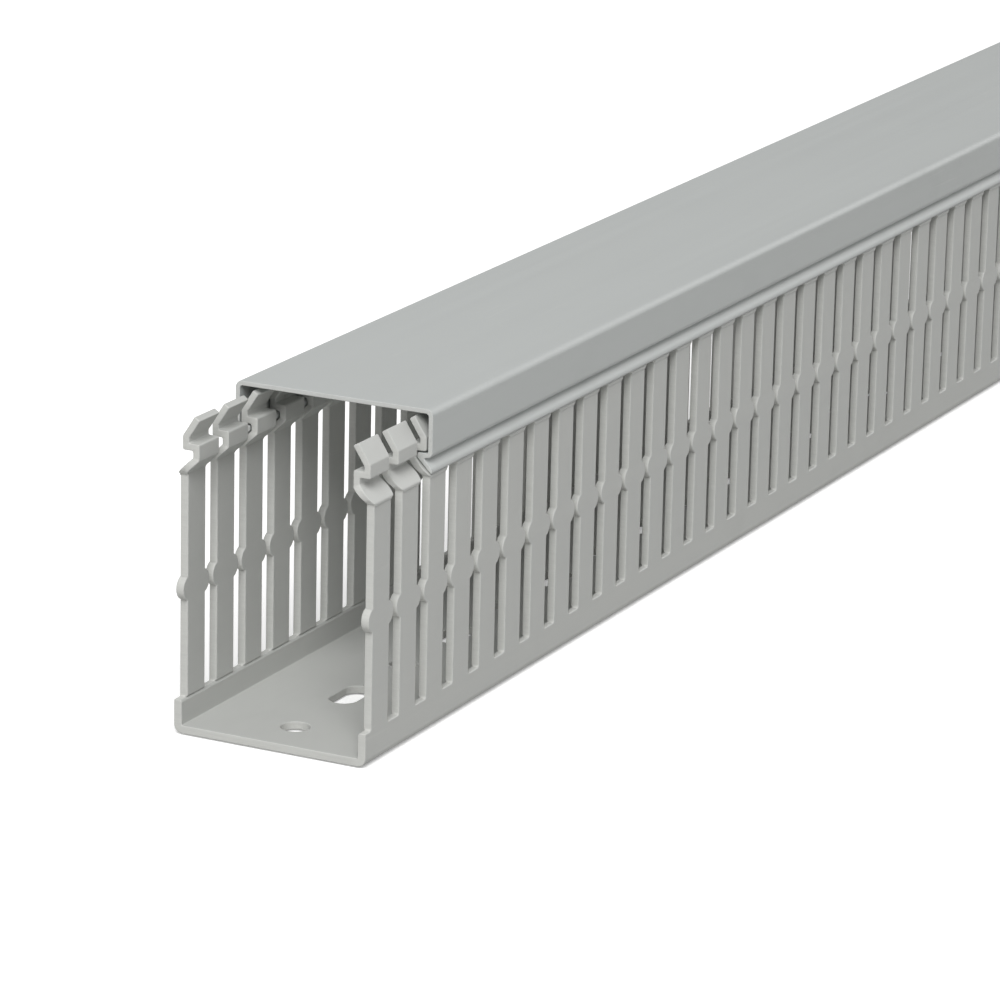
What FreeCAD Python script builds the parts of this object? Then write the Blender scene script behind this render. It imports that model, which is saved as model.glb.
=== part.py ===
import FreeCAD, Part
import os

import Sketcher

# Slotted wire duct with a clip-on cover, in millimetres, +Z up.
#
# The trough is a U-shaped rigid PVC extrusion that lies on its base. Its length runs
# along Y, with the origin at the middle of its underside and the front end at -Y.
# Slots are punched straight through both walls along X, which leaves rows of fingers.
# Each finger ends in a zigzag clip: a slanted tab, a short neck, a hook and an inward
# arm. The cover is a second extrusion, whose folded lips run under the hooks. It
# slides along Y in them.


# Driving dimensions
SIZES = {
    # the stock length, rounded down to whole pitches so that both cuts are mid-slot
    "stock_length": 500.0,
    # trough section
    "trough_width": 38.8,
    "base_thickness": 1.6,
    "wall_thickness": 1.6,
    "foot_radius": 1.6,
    # slots and fingers
    "finger_pitch": 10.4,
    "slot_width": 4.2,
    "slot_floor_height": 6.3,
    # bulges of the finger edges that hold wires in, at mid height and on the tabs
    "wire_bulge_rise": 20.3,
    "wire_bulge_half_span": 2.2,
    "wire_bulge_half_flat": 0.9,
    "wire_bulge_depth": 1.55,
    "tab_bulge_rise": 1.5,
    "tab_bulge_depth": 1.1,
    # the slot is narrower between the necks and the arms than between the fingers
    "head_slot_width": 3.3,
    # clip at the top of each finger, each height counted from the feature below it
    "clip_thickness": 1.3,
    "tab_rise": 21.6,
    "tab_reach": 0.5,
    "neck_inset": 2.75,
    "neck_height": 1.25,
    "hook_inset": 0.65,
    "hook_height": 2.6,
    "arm_run": 2.4,
    "arm_rise": 3.7,
    # cover section
    "cover_play": 0.3,
    "cover_thickness": 0.9,
    "cover_corner_radius": 1.3,
    "cover_headroom": 0.6,
    "lip_radius": 0.8,
    "flare_thickness": 0.78,
    "flare_reach": 0.55,
    "cover_setback": 22.5,
    # punched fixing holes in the base
    "hole_diameter": 5.4,
    "oblong_hole_length": 10.8,
    "first_hole_place": 9.8,
    "hole_step": 20.8,
}

SHEET = "Sizes"


class Length:
    """A length kept both as a number and as the sheet expression that gives it."""

    def __init__(self, value, text):
        self.value = value
        self.text = text

    def __add__(self, other):
        other = as_length(other)
        return Length(self.value + other.value, f"({self.text} + {other.text})")

    def __sub__(self, other):
        other = as_length(other)
        return Length(self.value - other.value, f"({self.text} - {other.text})")

    def __mul__(self, other):
        other = as_length(other)
        return Length(self.value * other.value, f"({self.text} * {other.text})")

    def __truediv__(self, other):
        other = as_length(other)
        return Length(self.value / other.value, f"({self.text} / {other.text})")

    def __neg__(self):
        return Length(-self.value, f"(-1 * {self.text})")


def as_length(number):
    """A plain number as a Length; a Length as it is."""
    if isinstance(number, Length):
        return number
    return Length(float(number), f"{float(number):.6f}")


def root(length):
    """The square root of a Length."""
    return Length(length.value ** 0.5, f"sqrt({length.text})")


def whole(length):
    """A Length rounded down to a whole number."""
    return Length(float(int(length.value)), f"floor({length.text})")


def size(alias):
    """The driving dimension with this alias."""
    return Length(SIZES[alias], f"{SHEET}.{alias}")


ROOT_TWO = root(as_length(2.0))


def cut_length():
    """The length of both extrusions: a whole number of finger pitches."""
    pitch = size("finger_pitch")
    return whole(size("stock_length") / pitch) * pitch


def make_sheet(doc):
    """Writes the driving dimensions into the spreadsheet, one named cell each."""
    sheet = doc.addObject("Spreadsheet::Sheet", SHEET)
    for row, (alias, number) in enumerate(SIZES.items(), start=1):
        sheet.set(f"A{row}", alias)
        sheet.set(f"B{row}", str(number))
        sheet.setAlias(f"B{row}", alias)
    doc.recompute()
    return sheet


def origin_plane(body, role):
    """The body's own origin plane with this role."""
    return next(item for item in body.Origin.OriginFeatures if item.Role == role)


def new_sketch(body, name, role):
    """An empty sketch on one of the body's origin planes."""
    sketch = body.newObject("Sketcher::SketchObject", name)
    sketch.AttachmentSupport = (origin_plane(body, role), [""])
    sketch.MapMode = "FlatFace"
    return sketch


def bind(sketch, constraint, length):
    """Adds a dimensional constraint and ties its value to the sheet."""
    index = sketch.addConstraint(constraint)
    sketch.setExpression(f"Constraints[{index}]", length.text)


def fix_point(sketch, edge, end, place):
    """Fixes an end of an edge at a place given by two Lengths from the origin."""
    across, up = place
    bind(sketch, Sketcher.Constraint("DistanceX", -1, 1, edge, end, across.value), across)
    bind(sketch, Sketcher.Constraint("DistanceY", -1, 1, edge, end, up.value), up)


def vector(place):
    """The start position of a sketch point."""
    return FreeCAD.Vector(place[0].value, place[1].value, 0)


def arc_through(start, end, radius, turns_left):
    """A circular arc between two places, drawn anticlockwise whichever way it turns."""
    first, last = (start, end) if turns_left else (end, start)
    first, last = vector(first), vector(last)
    chord = last - first
    left = FreeCAD.Vector(-chord.y, chord.x, 0).normalize()
    away = max(radius.value ** 2 - (chord.Length / 2) ** 2, 0.0) ** 0.5
    centre = (first + last) * 0.5 + left * away
    crown = centre - left * radius.value
    return Part.Arc(first, crown, last)


def draw_outline(sketch, stops):
    """Draws a closed outline through the stops.

    A stop is (place,) for a straight edge on to the next stop, or
    (place, radius, turns_left) for an arc on to the next stop. An arc that turns left
    has its centre to the left of the way from its start to its end. A half circle has
    its centre level with its ends instead of a bound radius.
    """
    edges = []
    for number, stop in enumerate(stops):
        here = stop[0]
        there = stops[(number + 1) % len(stops)][0]
        if len(stop) == 1:
            edges.append(sketch.addGeometry(Part.LineSegment(vector(here), vector(there))))
        else:
            edges.append(sketch.addGeometry(arc_through(here, there, stop[1], stop[2])))
    starts = []
    for edge, stop in zip(edges, stops):
        curve = sketch.Geometry[edge]
        begins_here = (curve.StartPoint - vector(stop[0])).Length < 1e-6
        starts.append(1 if begins_here else 2)
    for number, edge in enumerate(edges):
        follower = (number + 1) % len(edges)
        end = 3 - starts[number]
        sketch.addConstraint(
            Sketcher.Constraint("Coincident", edge, end, edges[follower], starts[follower]))
    for edge, begin, stop in zip(edges, starts, stops):
        fix_point(sketch, edge, begin, stop[0])
        if len(stop) == 3:
            bind(sketch, Sketcher.Constraint("Radius", edge, stop[1].value), stop[1])
        elif len(stop) == 4:
            level = stop[0][1]
            bind(sketch, Sketcher.Constraint("DistanceY", -1, 1, edge, 3, level.value), level)


def mirrored(stops):
    """The stops of a right-hand outline, mirrored and put in the opposite order."""
    turned = []
    for number in range(len(stops) - 1, -1, -1):
        across, up = stops[number][0]
        place = (-across, up)
        into = stops[number - 1] if number > 0 else (None,)
        turned.append((place,) if len(into) == 1 else (place, into[1], into[2]))
    return turned


def finger_levels():
    """Heights of the finger's features, from the slot floor up to the arm's tip.

    The tab slants at 45 degrees. It would meet the wall's outer face at the tab level.
    """
    wire_bulge = size("slot_floor_height") + size("wire_bulge_rise")
    tab = wire_bulge + size("tab_rise")
    neck_foot = tab + size("neck_inset")
    hook = neck_foot + size("neck_height")
    knee = hook + size("hook_height")
    return {
        "wire_bulge": wire_bulge,
        "tab": tab,
        "tab_tip": tab - size("tab_reach"),
        "tab_bulge": tab - size("tab_reach") + size("tab_bulge_rise"),
        "wall_top": tab - size("tab_reach") * 2,
        "neck_foot": neck_foot,
        "hook": hook,
        "shelf_top": hook + size("clip_thickness"),
        "knee": knee,
        "arm_top": knee + size("arm_rise"),
    }


def trough_right_side():
    """Outline of the right wall and its clip, up the outside and down the inside."""
    half = size("trough_width") / 2
    wall = size("wall_thickness")
    radius = size("foot_radius")
    thick = size("clip_thickness")
    run, rise = size("arm_run"), size("arm_rise")
    level = finger_levels()

    neck_outer = half - size("neck_inset")
    neck_inner = neck_outer - thick
    hook_outer = half - size("hook_inset")
    hook_inner = hook_outer - thick
    arm_length = root(run * run + rise * rise)
    arm_tip = (hook_outer - run, level["arm_top"])
    arm_tip_inner = (arm_tip[0] - thick * rise / arm_length, arm_tip[1] - thick * run / arm_length)
    knee_inner = level["knee"] - thick * (arm_length - rise) / run
    tab_underside = level["tab"] - thick * ROOT_TWO

    return [
        ((half - radius, as_length(0)), radius, True),
        ((half, radius),),
        ((half, level["wall_top"]),),
        ((half + size("tab_reach"), level["tab_tip"]),),
        ((neck_outer, level["neck_foot"]),),
        ((neck_outer, level["hook"]),),
        ((hook_outer, level["hook"]),),
        ((hook_outer, level["knee"]),),
        (arm_tip,),
        (arm_tip_inner,),
        ((hook_inner, knee_inner),),
        ((hook_inner, level["shelf_top"]),),
        ((neck_inner, level["shelf_top"]),),
        ((neck_inner, tab_underside + half - neck_inner),),
        ((half - wall, tab_underside + wall),),
        ((half - wall, size("base_thickness")),),
    ]


def draw_trough_section(sketch):
    """Cross-section of the trough: base, both walls and their clips."""
    right = trough_right_side()
    draw_outline(sketch, right + mirrored(right))


def slot_edge():
    """Outline of one slot's +Y edge from its floor up past the top of the clips.

    The bulges have straight edges and the floor has sharp corners, because they repeat
    on every finger.
    """
    edge = size("slot_width") / 2
    head_edge = size("head_slot_width") / 2
    level = finger_levels()
    wire_height, wire_span = level["wire_bulge"], size("wire_bulge_half_span")
    wire_flat, wire_edge = size("wire_bulge_half_flat"), edge - size("wire_bulge_depth")
    return [
        ((edge, size("slot_floor_height")),),
        ((edge, wire_height - wire_span),),
        ((wire_edge, wire_height - wire_flat),),
        ((wire_edge, wire_height + wire_flat),),
        ((edge, wire_height + wire_span),),
        ((edge, level["wall_top"]),),
        ((edge - size("tab_bulge_depth"), level["tab_bulge"]),),
        ((head_edge, level["neck_foot"]),),
        ((head_edge, level["arm_top"] + 2),),
    ]


def draw_slot(sketch):
    """Outline of the slot at the front end, centred on the cut."""
    upper = slot_edge()
    draw_outline(sketch, upper + mirrored(upper))


def draw_fixing_holes(sketch):
    """One round and one oblong hole on the base's centre line."""
    radius = size("hole_diameter") / 2
    place = size("first_hole_place")
    circle = sketch.addGeometry(
        Part.Circle(FreeCAD.Vector(0, place.value, 0), FreeCAD.Vector(0, 0, 1), radius.value))
    sketch.addConstraint(Sketcher.Constraint("PointOnObject", circle, 3, -2))
    bind(sketch, Sketcher.Constraint("DistanceY", -1, 1, circle, 3, place.value), place)
    bind(sketch, Sketcher.Constraint("Radius", circle, radius.value), radius)

    middle = place + size("hole_step")
    reach = (size("oblong_hole_length") - size("hole_diameter")) / 2
    draw_outline(sketch, [
        ((radius, middle - reach),),
        ((radius, middle + reach), radius, True, "half circle"),
        ((-radius, middle + reach),),
        ((-radius, middle - reach), radius, True, "half circle"),
    ])


def pad_along_length(body, sketch, name):
    """Pads a cross-section back along +Y by the cut length."""
    pad = body.newObject("PartDesign::Pad", name)
    pad.Profile = sketch
    pad.Length = cut_length().value
    pad.setExpression("Length", cut_length().text)
    pad.Reversed = True
    return pad


def pocket_through(body, sketch, name):
    """Cuts a sketch through the whole body, both ways from its plane."""
    pocket = body.newObject("PartDesign::Pocket", name)
    pocket.Profile = sketch
    pocket.Type = "ThroughAll"
    pocket.Midplane = True
    return pocket


def repeat_along_length(body, feature, name, step, first):
    """Repeats a cut at the given step for as long as its middle is on the duct.

    The number of places comes from the sheet, so that a longer duct gets more of them.
    """
    pattern = body.newObject("PartDesign::LinearPattern", name)
    pattern.Originals = [feature]
    axis = next(item for item in body.Origin.OriginFeatures if item.Role == "Y_Axis")
    pattern.Direction = (axis, [""])
    steps = whole((size("stock_length") - first) / step)
    reach = steps * step
    pattern.Occurrences = int(steps.value) + 1
    pattern.setExpression("Occurrences", (steps + 1).text)
    pattern.Length = reach.value
    pattern.setExpression("Length", reach.text)
    body.Tip = pattern
    return pattern


def place_front_end(body, distance):
    """Puts a body's front end this far behind the trough's front end."""
    place = distance - cut_length() / 2
    body.Placement.Base.y = place.value
    body.setExpression("Placement.Base.y", place.text)


def make_trough(doc):
    """The slotted U-shaped trough with its clips and its punched base."""
    body = doc.addObject("PartDesign::Body", "Trough")
    body.Label = "trough"
    place_front_end(body, as_length(0))
    section = new_sketch(body, "TroughSection", "XZ_Plane")
    draw_trough_section(section)
    extrusion = pad_along_length(body, section, "TroughExtrusion")
    doc.recompute()

    slot = new_sketch(body, "SlotOutline", "YZ_Plane")
    draw_slot(slot)
    punch = pocket_through(body, slot, "SlotPunch")
    doc.recompute()
    repeat_along_length(body, punch, "SlotRow", size("finger_pitch"), as_length(0))
    doc.recompute()

    holes = new_sketch(body, "FixingHoles", "XY_Plane")
    draw_fixing_holes(holes)
    drill = pocket_through(body, holes, "FixingHolePunch")
    doc.recompute()
    pair_step = size("hole_step") * 2
    last_of_first_pair = size("first_hole_place") + size("hole_step") + size("oblong_hole_length")
    repeat_along_length(body, drill, "FixingHoleRow", pair_step, last_of_first_pair)
    doc.recompute()
    return body, extrusion


def cover_right_side():
    """Outline of the cover's right half, down the outside and up the inside."""
    half = size("trough_width") / 2
    play = size("cover_play")
    thick = size("cover_thickness")
    corner = size("cover_corner_radius")
    bend = size("lip_radius")
    level = finger_levels()

    inner = half - size("hook_inset") + play
    outer = inner + thick
    ceiling = level["arm_top"] + size("cover_headroom")
    top = ceiling + thick
    lip_top = level["hook"] - play
    lip_under = lip_top - thick
    lip_end = half - size("neck_inset") + play
    flare_under = level["tab"] + play + half
    flare_upper = flare_under + size("flare_thickness") * ROOT_TWO
    flare_tip = half + size("flare_reach")

    return [
        ((outer - corner, top), corner, False),
        ((outer, top - corner),),
        ((outer, lip_under + bend), bend, False),
        ((outer - bend, lip_under),),
        ((flare_upper - lip_under, lip_under),),
        ((flare_tip, flare_upper - flare_tip),),
        ((flare_tip, flare_under - flare_tip),),
        ((lip_end, flare_under - lip_end),),
        ((lip_end, lip_top),),
        ((inner, lip_top),),
        ((inner, ceiling),),
    ]


def draw_cover_section(sketch):
    """Cross-section of the cover: plate, skirts, lips and flares."""
    right = cover_right_side()
    draw_outline(sketch, right + mirrored(right))


def make_cover(doc):
    """The clip-on cover, slid back to its place on the trough."""
    body = doc.addObject("PartDesign::Body", "Cover")
    body.Label = "cover"
    section = new_sketch(body, "CoverSection", "XZ_Plane")
    draw_cover_section(section)
    pad_along_length(body, section, "CoverExtrusion")
    place_front_end(body, size("cover_setback"))
    doc.recompute()
    return body


def check_objects(doc):
    """Stops when a feature failed or a body isn't one valid solid."""
    for item in doc.Objects:
        bad = [word for word in item.State if word in ("Invalid", "Error")]
        if bad:
            raise RuntimeError(f"{item.Name}: {bad}")
    for item in doc.Objects:
        if item.isDerivedFrom("PartDesign::Body"):
            shape = item.Shape
            if shape.isNull() or not shape.isValid() or len(shape.Solids) != 1:
                raise RuntimeError(f"{item.Label}: not one valid solid")


def main():
    """Builds both pieces and writes one STEP file for each."""
    os.makedirs("parts", exist_ok=True)
    doc = FreeCAD.newDocument("SlottedWireDuct")
    make_sheet(doc)
    trough, extrusion = make_trough(doc)
    cover = make_cover(doc)
    check_objects(doc)
    if trough.Shape.Volume > 0.75 * extrusion.Shape.Volume:
        raise RuntimeError("the slots did not cut the walls")
    for body in (trough, cover):
        body.Shape.exportStep(f"parts/{body.Label}.step")
        print(body.Label, round(body.Shape.Volume), body.Shape.BoundBox)


main()
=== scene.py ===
"""Slotted wire duct: a U-shaped trough with clip-topped fingers and its clip-on cover."""

from __future__ import annotations

import logging
import math
from dataclasses import dataclass, field
from enum import Enum
from typing import Any, Callable, Iterable

import bmesh
import bpy
from mathutils import Matrix, Vector

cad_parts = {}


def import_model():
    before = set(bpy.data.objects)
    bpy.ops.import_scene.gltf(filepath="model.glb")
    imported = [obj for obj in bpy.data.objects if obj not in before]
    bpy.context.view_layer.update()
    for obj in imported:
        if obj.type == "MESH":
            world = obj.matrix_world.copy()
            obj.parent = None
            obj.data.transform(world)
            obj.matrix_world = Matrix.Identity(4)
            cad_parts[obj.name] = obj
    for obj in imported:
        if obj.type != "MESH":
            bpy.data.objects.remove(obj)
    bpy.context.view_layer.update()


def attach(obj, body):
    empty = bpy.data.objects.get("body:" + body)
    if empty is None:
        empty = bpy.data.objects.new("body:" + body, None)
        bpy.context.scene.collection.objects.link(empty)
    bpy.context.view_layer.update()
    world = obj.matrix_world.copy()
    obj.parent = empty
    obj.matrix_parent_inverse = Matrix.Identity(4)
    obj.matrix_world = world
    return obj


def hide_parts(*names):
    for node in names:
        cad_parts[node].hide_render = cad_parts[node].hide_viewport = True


LOG = logging.getLogger("wire_duct")

MM = 0.001
WELD = 2e-6
RIM_SEGMENTS = 2
SHARP_DEGREES = 32.0

# How much of a unit normal lies along an axis that the face looks at, and along one that it doesn't
MOSTLY = 0.95
BARELY = 0.1

Point = tuple[float, float]
Place = tuple[float, float, float]
Colour = tuple[float, float, float]


class Side(Enum):
    """The two walls of the trough, by the sign of their X."""

    RIGHT = 1.0
    LEFT = -1.0


class Attribute(Enum):
    """Point attributes that the finishes read."""

    PUNCHED = "punched"
    RIM = "rim"


# Shared mesh steps


def millimetres(x: float, y: float, z: float) -> Vector:
    """A place given in millimetres, as metres."""
    return Vector((x * MM, y * MM, z * MM))


def rounded(before: Point, corner: Point, after: Point, radius: float, steps: int) -> list[Point]:
    """Places along the arc that rounds a corner between two straight runs.

    Args:
        before: A place on the run that comes in.
        corner: The sharp corner.
        after: A place on the run that goes out.
        radius: Radius of the arc.
        steps: How many chords the arc is cut into.

    Returns:
        The arc's places from the first run to the second.
    """
    middle = Vector(corner)
    back, ahead = (Vector(before) - middle).normalized(), (Vector(after) - middle).normalized()
    half = back.angle(ahead) / 2
    centre = middle + (back + ahead).normalized() * radius / math.sin(half)
    start = middle + back * radius / math.tan(half) - centre
    turn = math.copysign(math.pi - 2 * half, ahead.cross(back))
    places = [centre + Matrix.Rotation(turn * step / steps, 2) @ start for step in range(steps + 1)]
    return [(place.x, place.y) for place in places]


def spaced(start: Point, end: Point, steps: int) -> list[Point]:
    """Evenly spaced places from a start to an end."""
    return [(start[0] + (end[0] - start[0]) * step / steps, start[1] + (end[1] - start[1]) * step / steps)
            for step in range(steps + 1)]


def draw_section(bm: bmesh.types.BMesh, corners: Iterable[Point], y: float) -> None:
    """Draws a flat cross-section across the duct, as one face.

    Args:
        bm: The mesh that is being built.
        corners: X and Z of each corner, in millimetres, in order.
        y: Where along the duct the section stands, in millimetres.
    """
    bm.faces.new([bm.verts.new(millimetres(x, y, z)) for x, z in corners])


def corner_at(face: bmesh.types.BMFace, x: float, z: float) -> bmesh.types.BMVert:
    """The face's corner nearest to X and Z, given in millimetres."""
    place = Vector((x * MM, z * MM))
    return min(face.verts, key=lambda v: (Vector((v.co.x, v.co.z)) - place).length)


def round_corner(bm: bmesh.types.BMesh, x: float, z: float, radius: float, segments: int) -> None:
    """Rounds one corner of the only face of a section, to a radius in millimetres.

    Args:
        bm: The mesh that holds only the section.
        x: X of the corner, in millimetres.
        z: Z of the corner, in millimetres.
        radius: Radius of the arc, in millimetres.
        segments: How many chords the arc is cut into.
    """
    bm.faces.ensure_lookup_table()
    vert = corner_at(bm.faces[0], x, z)
    to_first, to_second = ((e.other_vert(vert).co - vert.co).normalized() for e in vert.link_edges)
    half_angle = to_first.angle(to_second) / 2
    reach = radius * MM / math.tan(half_angle)
    bmesh.ops.bevel(bm, geom=[vert], offset=reach, offset_type="OFFSET", segments=segments,
                    profile=0.5, affect="VERTICES", material=-1, clamp_overlap=False)


def sharp_convex_edges(bm: bmesh.types.BMesh) -> list[bmesh.types.BMEdge]:
    """The outward edges that turn by more than SHARP_DEGREES."""
    least = math.radians(SHARP_DEGREES)
    return [e for e in bm.edges if e.is_manifold and e.is_convex and e.calc_face_angle(0.0) > least]


def soften(bm: bmesh.types.BMesh, edges: list[bmesh.types.BMEdge], width: float) -> None:
    """Rounds edges a little, and marks the rounded rims for the finishes.

    Args:
        bm: The mesh that is being built.
        edges: The edges to round.
        width: Width of the rounding, in millimetres.
    """
    result = bmesh.ops.bevel(bm, geom=edges, offset=width * MM, offset_type="OFFSET",
                             segments=RIM_SEGMENTS, profile=0.5, affect="EDGES", material=-1,
                             clamp_overlap=False, miter_outer="SHARP")
    strips = set(result["faces"])
    layer = bm.verts.layers.float.get(Attribute.RIM.value) or bm.verts.layers.float.new(Attribute.RIM.value)
    for vert in {v for face in strips for v in face.verts}:
        if all(face in strips for face in vert.link_faces):
            vert[layer] = 1.0


def mark_corners(faces: Iterable[bmesh.types.BMFace], layer: bmesh.types.BMLayerItem) -> None:
    """Sets a point attribute to one at the corners of the faces.

    Args:
        faces: The faces to mark.
        layer: The attribute's layer.
    """
    for face in faces:
        for vert in face.verts:
            vert[layer] = 1.0


def finish_piece(bm: bmesh.types.BMesh, name: str, material: bpy.types.Material) -> bpy.types.Object:
    """Turns the built mesh into an object with smooth rims and flat faces.

    Args:
        bm: The finished mesh.
        name: Name of the object.
        material: Its finish.

    Returns:
        The new object, at the origin.
    """
    for face in bm.faces:
        face.smooth = True
    mesh = bpy.data.meshes.new(name)
    bm.to_mesh(mesh)
    bm.free()
    mesh.materials.append(material)
    piece = bpy.data.objects.new(name, mesh)
    bpy.context.scene.collection.objects.link(piece)
    shading = piece.modifiers.new("flat_faces_round_rims", "WEIGHTED_NORMAL")
    shading.mode = "FACE_AREA"
    shading.weight = 100
    shading.keep_sharp = True
    return piece


# The trough


@dataclass
class SlottedTrough:
    """The U-shaped extrusion with its punched fingers, clips and base holes, in millimetres."""

    half_width: float = 19.4
    wall: float = 1.6
    base: float = 1.6
    foot_radius: float = 1.6
    inner_fillet: float = 0.2
    front: float = -249.6
    pitch: float = 10.4
    fingers: int = 48
    fingers_per_unit: int = 4
    slot_width: float = 4.2
    slot_floor: float = 6.3
    floor_fillet: float = 0.4
    floor_fillet_steps: int = 4
    score_depth: float = 0.3
    score_fall: float = 0.35
    wire_bulge_level: float = 26.6
    wire_bulge_span: float = 2.2
    wire_bulge_depth: float = 1.55
    wire_bulge_steps: int = 8
    tab_bulge_level: float = 49.25
    tab_bulge_span: float = 1.65
    tab_bulge_depth: float = 1.0
    head_half: float = 3.55
    tip_radius: float = 0.6
    bend_radius: float = 0.38
    shelf_radius: float = 0.3
    knee_radius: float = 0.7
    clip: float = 1.3
    tab_level: float = 48.2
    tab_reach: float = 0.5
    neck_outer: float = 16.65
    neck_foot: float = 50.95
    neck_row_rise: float = 0.3
    hook_level: float = 52.2
    hook_outer: float = 18.75
    knee: float = 54.8
    arm_tip: Point = (16.35, 58.5)
    hole_radius: float = 2.7
    hole_segments: int = 32
    oblong_half_travel: float = 2.7
    round_hole_place: float = 9.8
    oblong_hole_place: float = 30.6
    rim_width: float = 0.2
    name: str = "trough_body"
    slot: str = "trough_pvc"
    body: str = "trough"

    @property
    def unit_length(self) -> float:
        """Length of the stretch that repeats along the duct."""
        return self.pitch * self.fingers_per_unit

    @property
    def land_half(self) -> float:
        """Half of a finger's plain width."""
        return (self.pitch - self.slot_width) / 2

    @property
    def inner_face(self) -> float:
        """How far a wall's inner face is from the middle of the duct."""
        return self.half_width - self.wall

    @property
    def wall_top(self) -> float:
        """Height at which the straight wall ends and the tab leans out."""
        return self.tab_level - 2 * self.tab_reach

    def bulge_circle(self, span: float, depth: float) -> tuple[float, float]:
        """Radius of a bulge's arc, and how far its centre is from the finger's middle."""
        radius = (span * span + depth * depth) / (2 * depth)
        return radius, self.land_half + depth - radius

    def tab_half(self, level: float) -> float:
        """Half of the finger's width at a height on the tab and above.

        Args:
            level: The height, in millimetres.

        Returns:
            Half of the width, in millimetres.
        """
        radius, centre = self.bulge_circle(self.tab_bulge_span, self.tab_bulge_depth)
        away = level - self.tab_bulge_level
        least = self.head_half if away > 0 else self.land_half
        if abs(away) >= self.tab_bulge_span:
            return least
        return max(least, centre + math.sqrt(radius * radius - away * away))

    def score_inset(self, level: float) -> float:
        """How far the score groove goes into the wall's inner face at a height above the slot floor."""
        return max(0.0, self.score_depth + self.slot_floor - level)

    def wall_rows(self) -> list[tuple[float, float]]:
        """Half width and height of the finger's rows on the straight wall.

        Returns:
            The rows from the slot floor upwards.
        """
        rows = []
        fillet = self.floor_fillet
        for step in range(1, self.floor_fillet_steps + 1):
            turn = math.pi / 2 * step / self.floor_fillet_steps
            rows.append((self.land_half + fillet * (1 - math.sin(turn)),
                         self.slot_floor + fillet * (1 - math.cos(turn))))
        radius, centre = self.bulge_circle(self.wire_bulge_span, self.wire_bulge_depth)
        swing = math.asin(self.wire_bulge_span / radius)
        for step in range(self.wire_bulge_steps + 1):
            turn = swing * (2 * step / self.wire_bulge_steps - 1)
            rows.append((centre + radius * math.cos(turn), self.wire_bulge_level + radius * math.sin(turn)))
        rows.append((self.land_half, self.wall_top))
        return rows

    def clip_outside(self) -> list[Point]:
        """X and Z of the clip's outer face, row by row from the tab's tip to the arm's.

        Returns:
            The places, upwards.
        """
        foot = (self.half_width, self.wall_top)
        tip = (self.half_width + self.tab_reach, self.tab_level - self.tab_reach)
        neck_foot = (self.neck_outer, self.neck_foot)
        hook_inner_end = (self.neck_outer, self.hook_level)
        hook_outer_end = (self.hook_outer, self.hook_level)
        knee = (self.hook_outer, self.knee)
        tip_arc = rounded(foot, tip, neck_foot, self.tip_radius, steps=5)
        foot_arc = rounded(tip, neck_foot, hook_inner_end, self.bend_radius, steps=2)
        return [
            *tip_arc,
            *spaced(tip_arc[-1], foot_arc[0], steps=6)[1:-1],
            *foot_arc,
            (self.neck_outer, self.neck_foot + self.neck_row_rise),
            *rounded(neck_foot, hook_inner_end, hook_outer_end, self.bend_radius, steps=3),
            *rounded(hook_inner_end, hook_outer_end, knee, self.bend_radius, steps=3),
            *rounded(hook_outer_end, knee, self.arm_tip, self.knee_radius, steps=2),
            self.arm_tip,
        ]

    def clip_inside(self) -> list[Point]:
        """X and Z of the clip's inner face, one place for each row of the outer face.

        Returns:
            The places, upwards.
        """
        neck_inner = self.neck_outer - self.clip
        corner_level = self.tab_level - self.clip * math.sqrt(2) + self.wall
        corner = (self.inner_face, corner_level)
        neck_foot = (neck_inner, corner_level + self.inner_face - neck_inner)
        shelf = self.hook_level + self.clip
        shelf_inner_end = (neck_inner, shelf)
        shelf_outer_end = (self.hook_outer - self.clip, shelf)
        run, rise = self.hook_outer - self.arm_tip[0], self.arm_tip[1] - self.knee
        arm = math.hypot(run, rise)
        knee = (self.hook_outer - self.clip, self.knee - self.clip * (arm - rise) / run)
        tip = (self.arm_tip[0] - self.clip * rise / arm, self.arm_tip[1] - self.clip * run / arm)
        below = (self.inner_face, self.wall_top)
        corner_arc = rounded(below, corner, neck_foot, self.bend_radius, steps=2)
        foot_arc = rounded(corner, neck_foot, shelf_inner_end, self.bend_radius, steps=2)
        return [
            *spaced(below, corner_arc[0], steps=7)[1:-1],
            *corner_arc,
            *spaced(corner_arc[-1], foot_arc[0], steps=3)[1:-1],
            *foot_arc,
            (neck_inner, self.neck_foot),
            *rounded(neck_foot, shelf_inner_end, shelf_outer_end, self.bend_radius, steps=3),
            *rounded(shelf_inner_end, shelf_outer_end, knee, self.shelf_radius, steps=3),
            *rounded(shelf_outer_end, knee, tip, self.shelf_radius, steps=2),
            tip,
        ]

    def draw_channel(self, bm: bmesh.types.BMesh) -> None:
        """Extrudes one repeating stretch of the channel below the slot floors.

        Args:
            bm: The mesh that is being built.
        """
        outer, inner = self.half_width, self.inner_face
        right = [(outer, 0), (outer, self.slot_floor), (inner + self.score_depth, self.slot_floor),
                 (inner, self.slot_floor - self.score_fall), (inner, self.base)]
        draw_section(bm, right + [(-x, z) for x, z in reversed(right)], self.front)
        for side in Side:
            round_corner(bm, side.value * outer, 0, self.foot_radius, segments=6)
            round_corner(bm, side.value * inner, self.base, self.inner_fillet, segments=3)
        section = next(iter(bm.faces))
        edges = list(section.edges)
        bmesh.ops.delete(bm, geom=[section], context="FACES_ONLY")
        made = bmesh.ops.extrude_edge_only(bm, edges=edges)["geom"]
        moved = [item for item in made if isinstance(item, bmesh.types.BMVert)]
        bmesh.ops.translate(bm, verts=moved, vec=millimetres(0, self.unit_length, 0))

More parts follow.
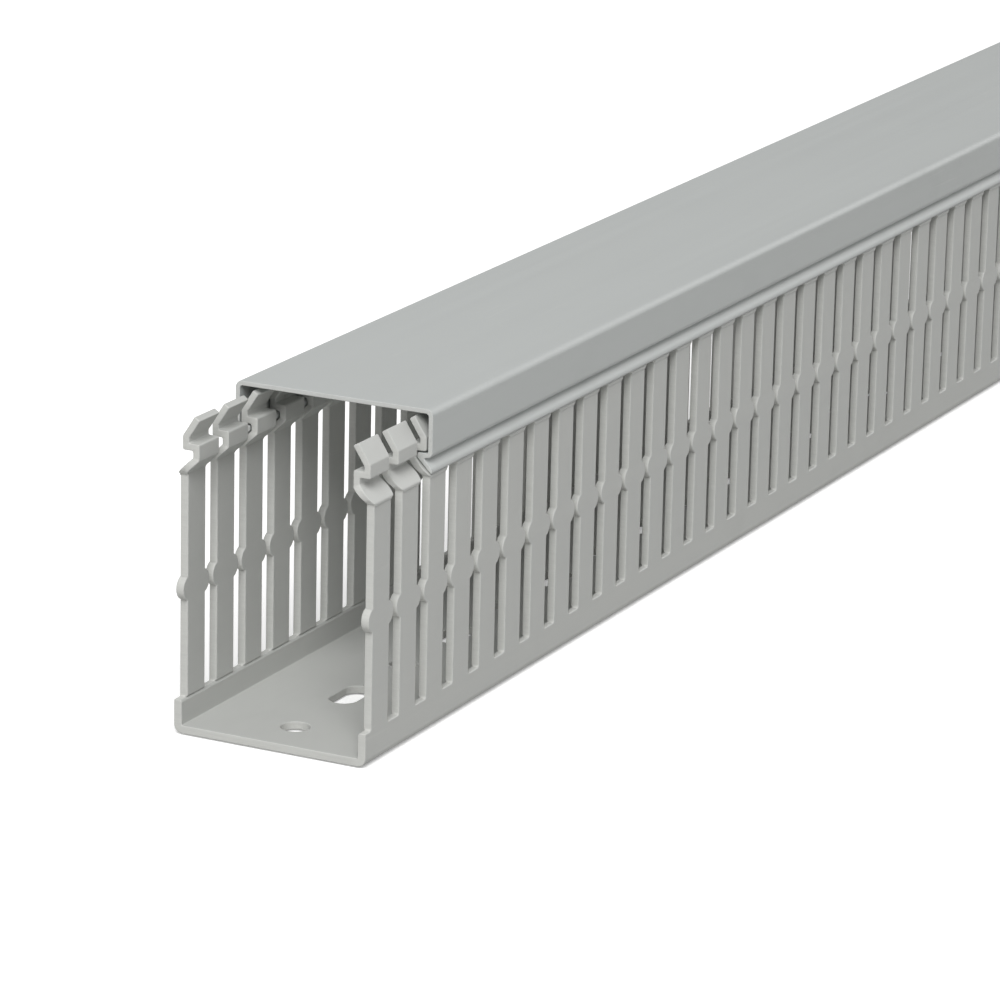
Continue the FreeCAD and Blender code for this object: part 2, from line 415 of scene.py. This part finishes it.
    def mark_feet(self, bm: bmesh.types.BMesh) -> list[bmesh.types.BMFace]:
        """Cuts the top of the channel into slot floors and the feet of the fingers.

        Args:
            bm: The channel.

        Returns:
            The feet, which the fingers rise from.
        """
        foot_half = self.land_half + self.floor_fillet
        level = self.slot_floor * MM
        for number in range(self.fingers_per_unit):
            middle = self.front + (number + 0.5) * self.pitch
            for y in (middle - foot_half, middle + foot_half):
                tops = [f for f in bm.faces if abs(f.calc_center_median().z - level) < WELD]
                edges = {e for f in tops for e in f.edges}
                verts = {v for f in tops for v in f.verts}
                bmesh.ops.bisect_plane(bm, geom=[*tops, *edges, *verts], plane_co=millimetres(0, y, 0),
                                       plane_no=(0, 1, 0), dist=WELD)
        feet = []
        for face in bm.faces:
            centre = face.calc_center_median()
            if abs(centre.z - level) < WELD:
                along = (centre.y / MM - self.front) % self.pitch
                if abs(along - self.pitch / 2) < self.land_half:
                    feet.append(face)
        return feet

    def raise_finger(self, bm: bmesh.types.BMesh, foot: bmesh.types.BMFace) -> None:
        """Raises one finger and its clip from its foot, row by row.

        Args:
            bm: The mesh that is being built.
            foot: The face that the finger rises from.
        """
        middle = foot.calc_center_median()
        side = math.copysign(1.0, middle.x)
        top = foot
        rows = []
        for half, z in self.wall_rows():
            rows.append(((self.half_width, z, half), (self.inner_face + self.score_inset(z), z, half)))
        for outer, inner in zip(self.clip_outside(), self.clip_inside(), strict=True):
            rows.append(((*outer, self.tab_half(outer[1])), (*inner, self.tab_half(inner[1]))))
        for outer, inner in rows:
            centre = top.calc_center_median()
            top = bmesh.ops.extrude_discrete_faces(bm, faces=[top])["faces"][0]
            for vert in top.verts:
                x, z, half = outer if side * vert.co.x > side * centre.x else inner
                back = math.copysign(1.0, vert.co.y - middle.y)
                vert.co = millimetres(side * x, middle.y / MM + back * half, z)

    def hole_rim(self, bm: bmesh.types.BMesh, y: float, z: float, travel: float) -> list[bmesh.types.BMEdge]:
        """Draws the rim of a hole in the base at one level, round or drawn out along the duct.

        Args:
            bm: The mesh that is being built.
            y: Middle of the hole along the duct.
            z: The level.
            travel: Half of what the hole is drawn out by.

        Returns:
            The rim's edges.
        """
        half_step = Matrix.Rotation(math.pi / self.hole_segments, 4, "Z")
        made = bmesh.ops.create_circle(bm, cap_ends=False, radius=self.hole_radius * MM,
                                       segments=self.hole_segments, matrix=half_step)["verts"]
        for vert in made:
            vert.co += millimetres(0, y + math.copysign(travel, vert.co.y), z)
        return list({e for v in made for e in v.link_edges})

    def punch_base(self, bm: bmesh.types.BMesh) -> None:
        """Opens the round and the oblong hole of one stretch in the base.

        Args:
            bm: The mesh that is being built.
        """
        plates = [f for f in bm.faces if abs(f.normal.z) > MOSTLY and abs(f.calc_center_median().x) < MM]
        borders = {}
        for plate in plates:
            borders[round(plate.calc_center_median().z / MM, 3)] = list(plate.edges)
        bmesh.ops.delete(bm, geom=plates, context="FACES_ONLY")
        rims: dict[float, list[bmesh.types.BMEdge]] = {level: [] for level in borders}
        holes = ((self.round_hole_place, 0.0), (self.oblong_hole_place, self.oblong_half_travel))
        for place, travel in holes:
            pair = []
            for level in borders:
                rim = self.hole_rim(bm, self.front + place, level, travel)
                rims[level] += rim
                pair += rim
            bmesh.ops.bridge_loops(bm, edges=pair)
        for level, border in borders.items():
            bmesh.ops.triangle_fill(bm, edges=border + rims[level], use_beauty=True, use_dissolve=False)

    def repeat_units(self, bm: bmesh.types.BMesh) -> None:
        """Repeats the first stretch along the whole duct and welds the joins.

        Args:
            bm: The mesh that is being built.
        """
        unit = list(bm.verts) + list(bm.edges) + list(bm.faces)
        for number in range(1, self.fingers // self.fingers_per_unit):
            made = bmesh.ops.duplicate(bm, geom=unit)["geom"]
            moved = [item for item in made if isinstance(item, bmesh.types.BMVert)]
            bmesh.ops.translate(bm, verts=moved, vec=millimetres(0, number * self.unit_length, 0))
        bmesh.ops.remove_doubles(bm, verts=list(bm.verts), dist=WELD)

    def close_ends(self, bm: bmesh.types.BMesh) -> None:
        """Closes both sawn ends of the channel.

        Args:
            bm: The mesh that is being built.
        """
        for sign in (-1, 1):
            level = sign * abs(self.front) * MM
            open_edges = [e for e in bm.edges
                          if e.is_boundary and all(abs(v.co.y - level) < WELD for v in e.verts)]
            bmesh.ops.edgeloop_fill(bm, edges=open_edges)

    def is_punched(self, face: bmesh.types.BMFace) -> bool:
        """Whether the slot punch, the hole punch or the saw has cut a face.

        Args:
            face: A face of the finished trough.

        Returns:
            True for a cut face.
        """
        normal, centre = face.normal, face.calc_center_median() / MM
        through_wall = abs(normal.x) < 2 * BARELY and abs(normal.y) > BARELY
        at_slot_floor = abs(centre.z - self.slot_floor) < self.floor_fillet / 8
        slot_bottom = normal.z > 1 - BARELY and at_slot_floor
        in_base = abs(centre.x) < self.hole_radius + self.rim_width and 0 < centre.z < self.base
        return through_wall or slot_bottom or (abs(normal.z) < BARELY and in_base)

    def mark_punched(self, bm: bmesh.types.BMesh) -> None:
        """Marks the faces that were punched or sawn, apart from the rounded rims.

        Args:
            bm: The mesh that is being built.
        """
        layer = bm.verts.layers.float.new(Attribute.PUNCHED.value)
        rim = bm.verts.layers.float.get(Attribute.RIM.value)
        mark_corners([face for face in bm.faces
                      if self.is_punched(face) and not any(vert[rim] > 0.5 for vert in face.verts)], layer)

    def build(self, material: bpy.types.Material) -> bpy.types.Object:
        """Builds the trough.

        Args:
            material: Its finish.

        Returns:
            The trough's object.
        """
        bm = bmesh.new()
        self.draw_channel(bm)
        feet = self.mark_feet(bm)
        self.punch_base(bm)
        for foot in feet:
            self.raise_finger(bm, foot)
        self.repeat_units(bm)
        self.close_ends(bm)
        bmesh.ops.recalc_face_normals(bm, faces=list(bm.faces))
        soften(bm, sharp_convex_edges(bm), self.rim_width)
        bm.normal_update()
        self.mark_punched(bm)
        return finish_piece(bm, self.name, material)


# The cover


@dataclass
class ClipOnCover:
    """The extruded cover with its skirts, folded lips and flares, in millimetres."""

    front: float = -227.1
    length: float = 499.2
    outer: float = 19.95
    sheet: float = 0.9
    top: float = 60.0
    corner_radius: float = 1.3
    lip_top: float = 51.9
    lip_end: float = 16.95
    flare_under: float = 67.9
    flare_upper: float = 69.003
    lip_radius: float = 1.15
    nose_radius: float = 1.1
    nose_tip_radius: float = 0.25
    notch_radius: float = 0.3
    lip_edge_radius: float = 0.25
    inner_bend_radius: float = 0.3
    inner_corner_radius: float = 0.5
    rim_width: float = 0.14
    name: str = "cover_body"
    slot: str = "cover_pvc"
    body: str = "cover"

    def half_section(self) -> list[tuple[float, float]]:
        """X and Z of the right half's corners, down the outside and up the inside.

        Returns:
            The sharp corners, in order.
        """
        inner = self.outer - self.sheet
        lip_under = self.lip_top - self.sheet
        return [
            (self.outer, self.top),
            (self.outer, lip_under),
            (self.flare_upper - lip_under, lip_under),
            (self.outer, self.flare_upper - self.outer),
            (self.outer, self.flare_under - self.outer),
            (self.lip_end, self.flare_under - self.lip_end),
            (self.lip_end, self.lip_top),
            (inner, self.lip_top),
            (inner, self.top - self.sheet),
        ]

    def roundings(self) -> list[tuple[float, float, float, int]]:
        """X, Z, radius and segments of each rounded corner of the right half.

        Returns:
            One row for each corner.
        """
        inner = self.outer - self.sheet
        lip_under = self.lip_top - self.sheet
        return [
            (self.outer, self.top, self.corner_radius, 6),
            (self.outer, lip_under, self.lip_radius, 6),
            (self.flare_upper - lip_under, lip_under, self.notch_radius, 3),
            (self.outer, self.flare_upper - self.outer, self.nose_radius, 6),
            (self.outer, self.flare_under - self.outer, self.nose_tip_radius, 3),
            (self.lip_end, self.flare_under - self.lip_end, self.notch_radius, 3),
            (self.lip_end, self.lip_top, self.lip_edge_radius, 3),
            (inner, self.lip_top, self.inner_bend_radius, 3),
            (inner, self.top - self.sheet, self.inner_corner_radius, 4),
        ]

    def build(self, material: bpy.types.Material) -> bpy.types.Object:
        """Builds the cover.

        Args:
            material: Its finish.

        Returns:
            The cover's object.
        """
        bm = bmesh.new()
        right = self.half_section()
        left = [(-x, z) for x, z in reversed(right)]
        draw_section(bm, right + left, self.front)
        for x, z, radius, segments in self.roundings():
            for side in Side:
                round_corner(bm, side.value * x, z, radius, segments)
        made = bmesh.ops.extrude_face_region(bm, geom=bm.faces[:])["geom"]
        moved = [item for item in made if isinstance(item, bmesh.types.BMVert)]
        bmesh.ops.translate(bm, verts=moved, vec=millimetres(0, self.length, 0))
        bmesh.ops.recalc_face_normals(bm, faces=list(bm.faces))
        ends = [e for e in bm.edges if abs(e.verts[0].co.y - e.verts[1].co.y) < WELD]
        soften(bm, ends, self.rim_width)
        bm.normal_update()
        layer = bm.verts.layers.float.new(Attribute.PUNCHED.value)
        mark_corners([face for face in bm.faces if abs(face.normal.y) > MOSTLY], layer)
        return finish_piece(bm, self.name, material)


# Shader groups and finishes


@dataclass(frozen=True)
class Pattern:
    """A noise pattern: its waves a metre along each axis, its detail and its roughness."""

    waves: Place
    detail: float = 2.0
    roughness: float = 0.5


FINE_DIE_LINES = Pattern((2600.0, 3.0, 2600.0), detail=3.0, roughness=0.6)
BROAD_DIE_LINES = Pattern((320.0, 1.2, 320.0))
LINE_FADING = Pattern((40.0, 6.0, 40.0), detail=1.0)
FINE_GRAIN = Pattern((5200.0, 5200.0, 5200.0), roughness=0.55)
ORANGE_PEEL = Pattern((700.0, 420.0, 700.0))
COLOUR_CLOUDS = Pattern((38.0, 22.0, 38.0), detail=3.0, roughness=0.55)
SHORT_SCRATCHES = Pattern((900.0, 26.0, 900.0), detail=1.0, roughness=0.4)
HANDLED_PLACES = Pattern((55.0, 30.0, 55.0))
SMUDGES = Pattern((120.0, 60.0, 120.0), detail=3.0, roughness=0.6)
SHEAR_LINES = Pattern((260.0, 4200.0, 4200.0), roughness=0.6)
PUNCH_CHATTER = Pattern((150.0, 900.0, 900.0))


class NodeBoard:
    """Adds and wires nodes in one node tree."""

    def __init__(self, tree: bpy.types.NodeTree) -> None:
        """Takes the tree that the nodes go into."""
        self.tree = tree

    def add(self, kind: str, inputs: dict[str | int, Any] | None = None, **settings: Any) -> bpy.types.Node:
        """Adds a node.

        Args:
            kind: The node's type name.
            inputs: Values or sockets for its inputs, by name or index.
            **settings: Properties of the node.

        Returns:
            The new node.
        """
        node = self.tree.nodes.new(kind)
        for name, value in settings.items():
            setattr(node, name, value)
        for name, value in (inputs or {}).items():
            if isinstance(value, bpy.types.NodeSocket):
                self.tree.links.new(value, node.inputs[name])
            else:
                node.inputs[name].default_value = value
        return node

    def math(self, operation: str, first: Any, second: Any = 0.0,
             clamp: bool = False) -> bpy.types.NodeSocket:
        """The result of a Math node."""
        node = self.add("ShaderNodeMath", {0: first, 1: second}, operation=operation, use_clamp=clamp)
        return node.outputs[0]

    def spread(self, value: bpy.types.NodeSocket, low: float, high: float, to_low: float = 0.0,
               to_high: float = 1.0) -> bpy.types.NodeSocket:
        """A value mapped smoothly from one range to another."""
        return self.add("ShaderNodeMapRange", {0: value, 1: low, 2: high, 3: to_low, 4: to_high},
                        interpolation_type="SMOOTHSTEP").outputs[0]

    def noise(self, place: bpy.types.NodeSocket, pattern: Pattern) -> bpy.types.NodeSocket:
        """The value of a noise pattern.

        Args:
            place: The place that the pattern is read at.
            pattern: The pattern.

        Returns:
            The value, from 0 to 1.
        """
        mapped = self.add("ShaderNodeMapping", {"Vector": place, "Scale": pattern.waves})
        return self.add("ShaderNodeTexNoise",
                        {"Vector": mapped.outputs[0], "Scale": 1.0, "Detail": pattern.detail,
                         "Roughness": pattern.roughness}).outputs["Fac"]

    def blend(self, first: bpy.types.NodeSocket, second: bpy.types.NodeSocket,
              second_share: float) -> bpy.types.NodeSocket:
        """Two values added together by their shares."""
        return self.math("ADD", self.math("MULTIPLY", first, 1.0 - second_share),
                         self.math("MULTIPLY", second, second_share))

    def mix(self, share: Any, first: Any, second: Any) -> bpy.types.NodeSocket:
        """Two colours mixed by a share.

        Args:
            share: How much of the second is mixed in.
            first: The first colour.
            second: The second colour.

        Returns:
            The mixed colour.
        """
        node = self.add("ShaderNodeMix", data_type="RGBA", blend_type="MIX")
        for index, value in ((0, share), (6, first), (7, second)):
            if isinstance(value, bpy.types.NodeSocket):
                self.tree.links.new(value, node.inputs[index])
            else:
                node.inputs[index].default_value = value
        return node.outputs[2]


Sockets = dict[str, bpy.types.NodeSocket]
Wiring = Callable[[NodeBoard, bpy.types.Node], Sockets]


def shared_group(name: str, outputs: tuple[str, ...], wire: Wiring) -> bpy.types.NodeTree:
    """Builds a shader node group once, and returns it again afterwards.

    Args:
        name: Name of the group, which takes a Place and an Amount.
        outputs: Its value outputs.
        wire: Adds the nodes and returns the socket for each output.

    Returns:
        The node group.
    """
    if name in bpy.data.node_groups:
        return bpy.data.node_groups[name]
    tree = bpy.data.node_groups.new(name, "ShaderNodeTree")
    tree.interface.new_socket(name="Place", in_out="INPUT", socket_type="NodeSocketVector")
    amount = tree.interface.new_socket(name="Amount", in_out="INPUT", socket_type="NodeSocketFloat")
    amount.default_value = 1.0
    for label in outputs:
        tree.interface.new_socket(name=label, in_out="OUTPUT", socket_type="NodeSocketFloat")
    board = NodeBoard(tree)
    sockets = wire(board, board.add("NodeGroupInput"))
    board.add("NodeGroupOutput", {label: sockets[label] for label in outputs})
    return tree


def extrusion_lines() -> bpy.types.NodeTree:
    """Die lines that run the whole length of an extrusion, fine and coarse.

    Returns:
        The node group.
    """

    def wire(board: NodeBoard, entry: bpy.types.Node) -> Sockets:
        """Adds the nodes of the die lines.

        Args:
            board: The board of the group's tree.
            entry: The group's input node.

        Returns:
            The socket for each output.
        """
        place = entry.outputs["Place"]
        both = board.blend(board.noise(place, FINE_DIE_LINES), board.noise(place, BROAD_DIE_LINES), 0.45)
        fading = board.spread(board.noise(place, LINE_FADING), low=0.3, high=0.65, to_low=0.45)
        faded = board.math("MULTIPLY", board.math("SUBTRACT", both, 0.5), fading)
        return {"Lines": board.math("ADD", faded, 0.5),
                "Line Height": board.math("MULTIPLY", faded, entry.outputs["Amount"])}

    return shared_group("die_lines", ("Lines", "Line Height"), wire)


def satin_grain() -> bpy.types.NodeTree:
    """The fine matte grain of rigid PVC, and the slow clouding of its colour.

    Returns:
        The node group.
    """

    def wire(board: NodeBoard, entry: bpy.types.Node) -> Sockets:
        """Adds the nodes of the grain.

        Args:
            board: The board of the group's tree.
            entry: The group's input node.

        Returns:
            The socket for each output.
        """
        place = entry.outputs["Place"]
        both = board.blend(board.noise(place, FINE_GRAIN), board.noise(place, ORANGE_PEEL), 0.6)
        cloud = board.spread(board.noise(place, COLOUR_CLOUDS), low=0.25, high=0.75)
        return {"Grain": both, "Cloud": cloud,
                "Grain Height": board.math("MULTIPLY", both, entry.outputs["Amount"])}

    return shared_group("satin_grain", ("Grain", "Cloud", "Grain Height"), wire)


def handling_marks() -> bpy.types.NodeTree:
    """Faint rubs and short scratches from storing and sliding, as masks.

    Returns:
        The node group.
    """

    def wire(board: NodeBoard, entry: bpy.types.Node) -> Sockets:
        """Adds the nodes of the rubs and scratches.

        Args:
            board: The board of the group's tree.
            entry: The group's input node.

        Returns:
            The socket for each output.
        """
        place, amount = entry.outputs["Place"], entry.outputs["Amount"]
        where = board.noise(place, HANDLED_PLACES)
        thin = board.spread(board.noise(place, SHORT_SCRATCHES), low=0.66, high=0.72)
        scratches = board.math("MULTIPLY", thin, board.spread(where, low=0.55, high=0.7))
        smudges = board.spread(board.noise(place, SMUDGES), low=0.5, high=0.75)
        rubs = board.math("MULTIPLY", smudges, board.spread(where, low=0.45, high=0.62))
        return {"Scratches": board.math("MULTIPLY", scratches, amount),
                "Rubs": board.math("MULTIPLY", rubs, amount)}

    return shared_group("handling_marks", ("Scratches", "Rubs"), wire)


def shear_marks() -> bpy.types.NodeTree:
    """The fine marks that a punch leaves through the thickness of a wall.

    Returns:
        The node group.
    """

    def wire(board: NodeBoard, entry: bpy.types.Node) -> Sockets:
        """Adds the nodes of the shear marks.

        Args:
            board: The board of the group's tree.
            entry: The group's input node.

        Returns:
            The socket for each output.
        """
        place = entry.outputs["Place"]
        marks = board.blend(board.noise(place, SHEAR_LINES), board.noise(place, PUNCH_CHATTER), 0.4)
        return {"Shear": marks, "Shear Height": board.math("MULTIPLY", marks, entry.outputs["Amount"])}

    return shared_group("shear_marks", ("Shear", "Shear Height"), wire)


@dataclass(frozen=True)
class RigidPvc:
    """Satin light stone grey rigid PVC, extruded, with lighter punched and sawn faces.

    A share says how much of an effect is mixed in, a lift how much lighter than its base
    colour it is, and a relief how high it stands in the bump.
    """

    name: str
    colour: Colour
    cut_colour: Colour
    cloud_colour: Colour
    offset: Place = (0.0, 0.0, 0.0)
    cloud_share: float = 0.55
    streak_share: float = 0.6
    streak_lift: float = 1.045
    shear_low_lift: float = 0.955
    shear_high_lift: float = 1.03
    rim_wear_share: float = 0.5
    rim_wear_lift: float = 1.1
    scratch_share: float = 0.22
    scratch_lift: float = 1.08
    dust_share: float = 0.14
    dust_lift: float = 0.9
    roughness: float = 0.46
    cut_roughness: float = 0.62
    line_roughness: float = 0.05
    rub_roughness: float = 0.1
    rim_polish: float = 0.06
    line_relief: float = 0.9
    grain_relief: float = 0.35
    shear_relief: float = 0.9
    scratch_relief: float = -0.3
    handling: float = 1.0
    bump_strength: float = 0.55
    bump_distance: float = 0.00006
    ior: float = 1.53
    specular: float = 0.42

    def tint(self, colour: Colour, lift: float = 1.0) -> tuple[float, float, float, float]:
        """A colour with alpha, made lighter or darker by a lift."""
        return (colour[0] * lift, colour[1] * lift, colour[2] * lift, 1.0)

    def masks(self, board: NodeBoard) -> Sockets:
        """Adds the shared groups and the attributes, and gives each of their outputs by name.

        Args:
            board: The board of the material's tree.

        Returns:
            The sockets by name.
        """
        objects = board.add("ShaderNodeTexCoord").outputs["Object"]
        place = board.add("ShaderNodeMapping", {"Vector": objects, "Location": self.offset}).outputs[0]
        found: Sockets = {}
        for tree, amount in ((extrusion_lines(), self.line_relief), (satin_grain(), self.grain_relief),
                             (handling_marks(), self.handling), (shear_marks(), self.shear_relief)):
            group = board.add("ShaderNodeGroup", {"Place": place, "Amount": amount}, node_tree=tree)
            found.update({output.name: output for output in group.outputs})
        for attribute in Attribute:
            node = board.add("ShaderNodeAttribute", attribute_name=attribute.value)
            found[attribute.value] = node.outputs["Fac"]
        punched, rim = found[Attribute.PUNCHED.value], found[Attribute.RIM.value]
        found["skin"] = board.math("SUBTRACT", 1.0, punched, clamp=True)
        found["worn"] = board.math("MULTIPLY", rim, board.spread(found["Grain"], low=0.4, high=0.62))
        found["scratched"] = board.math("MULTIPLY", found["Scratches"], found["skin"])
        return found

    def paint(self, board: NodeBoard, masks: Sockets) -> bpy.types.NodeSocket:
        """The colour: clouded and streaked skin, sheared cuts, worn rims, scratches and dust.

        Args:
            board: The board of the material's tree.
            masks: What masks() has given.

        Returns:
            The colour.
        """
        cloudy = board.mix(board.math("MULTIPLY", masks["Cloud"], self.cloud_share),
                           self.tint(self.colour), self.tint(self.cloud_colour))
        streaked = board.mix(board.spread(masks["Lines"], low=0.3, high=0.7), cloudy,
                             self.tint(self.colour, self.streak_lift))
        cut = board.mix(board.spread(masks["Shear"], low=0.3, high=0.7),
                        self.tint(self.cut_colour, self.shear_low_lift),
                        self.tint(self.cut_colour, self.shear_high_lift))
        colour = board.mix(masks[Attribute.PUNCHED.value],
                           board.mix(self.streak_share, cloudy, streaked), cut)
        colour = board.mix(board.math("MULTIPLY", masks["worn"], self.rim_wear_share), colour,
                           self.tint(self.cut_colour, self.rim_wear_lift))
        colour = board.mix(board.math("MULTIPLY", masks["scratched"], self.scratch_share), colour,
                           self.tint(self.cut_colour, self.scratch_lift))
        dust = board.math("MULTIPLY", masks["Rubs"],
                          board.math("MULTIPLY", masks["skin"], self.dust_share))
        return board.mix(dust, colour, self.tint(self.colour, self.dust_lift))

    def dullness(self, board: NodeBoard, masks: Sockets) -> bpy.types.NodeSocket:
        """The roughness: duller cuts and rubs, brighter rims, and a change from line to line.

        Args:
            board: The board of the material's tree.
            masks: What masks() has given.

        Returns:
            The roughness.
        """
        duller = board.math("MULTIPLY", masks[Attribute.PUNCHED.value],
                            self.cut_roughness - self.roughness)
        rough = board.math("ADD", self.roughness, duller)
        lines = board.spread(masks["Lines"], low=0.3, high=0.7,
                             to_low=-self.line_roughness, to_high=self.line_roughness)
        rough = board.math("ADD", rough, lines)
        rough = board.math("ADD", rough, board.math("MULTIPLY", masks["Rubs"], self.rub_roughness))
        polish = board.math("MULTIPLY", masks["worn"], self.rim_polish)
        return board.math("SUBTRACT", rough, polish, clamp=True)

    def relief(self, board: NodeBoard, masks: Sockets) -> bpy.types.NodeSocket:
        """The height for the bump: lines and grain on the skin, shear marks on the cuts.

        Args:
            board: The board of the material's tree.
            masks: What masks() has given.

        Returns:
            The height.
        """
        both = board.math("ADD", masks["Line Height"], masks["Grain Height"])
        skin = board.math("MULTIPLY", both, masks["skin"])
        cut = board.math("MULTIPLY", masks["Shear Height"], masks[Attribute.PUNCHED.value])
        dent = board.math("MULTIPLY", masks["scratched"], self.scratch_relief)
        return board.math("ADD", board.math("ADD", skin, cut), dent)

    def build(self) -> bpy.types.Material:
        """Builds the material.

        Returns:
            The finished material.
        """
        material = bpy.data.materials.new(self.name)
        material.use_nodes = True
        tree = material.node_tree
        tree.nodes.clear()
        board = NodeBoard(tree)
        masks = self.masks(board)
        bump = board.add("ShaderNodeBump", {"Strength": self.bump_strength, "Distance": self.bump_distance,
                                            "Height": self.relief(board, masks)})
        shader = board.add("ShaderNodeBsdfPrincipled",
                           {"Base Color": self.paint(board, masks), "Roughness": self.dullness(board, masks),
                            "Normal": bump.outputs[0], "IOR": self.ior, "Specular IOR Level": self.specular})
        board.add("ShaderNodeOutputMaterial", {"Surface": shader.outputs[0]})
        return material


# Stage, light and camera


@dataclass(frozen=True)
class SoftLamp:
    """A square area light that is aimed at a place, in metres."""

    name: str
    place: Place
    aim: Place
    size: float
    watts: float

    def build(self) -> None:
        """Adds the lamp."""
        data = bpy.data.lights.new(self.name, "AREA")
        data.shape = "SQUARE"
        data.size = self.size
        data.energy = self.watts
        lamp = bpy.data.objects.new(self.name, data)
        lamp.location = self.place
        direction = Vector(self.aim) - Vector(self.place)
        lamp.rotation_euler = direction.to_track_quat("-Z", "Y").to_euler()
        bpy.context.scene.collection.objects.link(lamp)


@dataclass
class PaleStudio:
    """A plain pale floor, soft lamps, and a camera at the photograph's viewing angle."""

    floor_half: float = 9.0
    floor_colour: Colour = (0.93, 0.93, 0.925)
    floor_bounce: Colour = (0.55, 0.55, 0.545)
    floor_glow: float = 0.3
    floor_roughness: float = 0.9
    floor_specular: float = 0.1
    floor_drop: float = 0.0002
    sky_strength: float = 0.30
    sky_seen: float = 0.92
    camera_place: Place = (0.4059, -0.9781, 0.2901)
    camera_right: Place = (0.8917, 0.4521, 0.0207)
    camera_up: Place = (-0.1459, 0.2439, 0.9588)
    lens: float = 179.2
    sensor_width: float = 36.0
    shift: tuple[float, float] = (0.0135, 0.0174)
    nearest: float = 0.01
    farthest: float = 60.0
    lamps: tuple[SoftLamp, ...] = field(default_factory=lambda: (
        SoftLamp("overhead_key_lamp", (0.72, -1.98, 2.08), (0.0, -0.2, 0.03), 1.6, 69.5),
        SoftLamp("rear_rim_lamp", (0.77, 1.67, 0.85), (0.0, -0.1, 0.03), 1.2, 8.6),
        SoftLamp("left_fill_lamp", (-1.6, 1.0, 0.34), (0.0, 0.0, 0.03), 0.6, 12.0),
    ))

    def floor_paint(self) -> bpy.types.Material:
        """White floor paint that throws less light back at the duct than it shows.

        Returns:
            The floor's material.
        """
        material = bpy.data.materials.new("pale_floor_paint")
        material.use_nodes = True
        tree = material.node_tree
        board = NodeBoard(tree)
        shader = tree.nodes["Principled BSDF"]
        seen = board.add("ShaderNodeLightPath").outputs["Is Camera Ray"]
        colour = board.mix(seen, (*self.floor_bounce, 1.0), (*self.floor_colour, 1.0))
        tree.links.new(colour, shader.inputs["Base Color"])
        tree.links.new(board.math("MULTIPLY", seen, self.floor_glow), shader.inputs["Emission Strength"])
        shader.inputs["Emission Color"].default_value = (1.0, 1.0, 1.0, 1.0)
        shader.inputs["Roughness"].default_value = self.floor_roughness
        shader.inputs["Specular IOR Level"].default_value = self.floor_specular
        return material

    def build_floor(self) -> None:
        """Adds the floor."""
        bm = bmesh.new()
        bmesh.ops.create_grid(bm, x_segments=1, y_segments=1, size=self.floor_half)
        mesh = bpy.data.meshes.new("pale_floor")
        bm.to_mesh(mesh)
        bm.free()
        mesh.materials.append(self.floor_paint())
        floor = bpy.data.objects.new("pale_floor", mesh)
        floor.location.z = -self.floor_drop
        bpy.context.scene.collection.objects.link(floor)

    def build_sky(self) -> None:
        """Sets the soft light from all round, which the camera sees as a pale backdrop."""
        world = bpy.data.worlds.new("pale_studio_air")
        world.use_nodes = True
        tree = world.node_tree
        board = NodeBoard(tree)
        shader = tree.nodes["Background"]
        shader.inputs["Color"].default_value = (1.0, 1.0, 1.0, 1.0)
        seen = board.add("ShaderNodeLightPath").outputs["Is Camera Ray"]
        brighter = board.math("MULTIPLY", seen, self.sky_seen - self.sky_strength)
        tree.links.new(board.math("ADD", brighter, self.sky_strength), shader.inputs["Strength"])
        bpy.context.scene.world = world

    def build_camera(self) -> None:
        """Adds the camera at the photograph's viewing angle."""
        data = bpy.data.cameras.new("photograph_camera")
        data.lens = self.lens
        data.sensor_width = self.sensor_width
        data.shift_x, data.shift_y = self.shift
        data.clip_start, data.clip_end = self.nearest, self.farthest
        camera = bpy.data.objects.new("photograph_camera", data)
        right, up = Vector(self.camera_right).normalized(), Vector(self.camera_up).normalized()
        back = right.cross(up).normalized()
        up = back.cross(right)
        turn = Matrix((right, up, back)).transposed()
        camera.matrix_world = Matrix.Translation(self.camera_place) @ turn.to_4x4()
        bpy.context.scene.collection.objects.link(camera)
        bpy.context.scene.camera = camera

    def build(self) -> None:
        """Builds the whole studio."""
        self.build_floor()
        self.build_sky()
        for lamp in self.lamps:
            lamp.build()
        self.build_camera()
        bpy.context.scene.view_settings.view_transform = "Standard"


def main() -> None:
    """Builds, dresses and lights the wire duct."""
    logging.basicConfig(level=logging.INFO, format="%(message)s")
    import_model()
    PaleStudio().build()

    trough_pvc = RigidPvc("trough_stone_grey_pvc", colour=(0.525, 0.532, 0.512),
                          cut_colour=(0.57, 0.575, 0.55), cloud_colour=(0.505, 0.515, 0.50))
    cover_pvc = RigidPvc("cover_stone_grey_pvc", colour=(0.498, 0.517, 0.508),
                         cut_colour=(0.57, 0.58, 0.562), cloud_colour=(0.479, 0.498, 0.49),
                         offset=(0.31, 0.17, 0.09))
    for part, finish, node in ((SlottedTrough(), trough_pvc, "trough"), (ClipOnCover(), cover_pvc, "cover")):
        piece = part.build(finish.build())
        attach(piece, part.body)
        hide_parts(node)
        LOG.info("%s: %d faces", piece.name, len(piece.data.polygons))


if __name__ == "__main__":
    main()
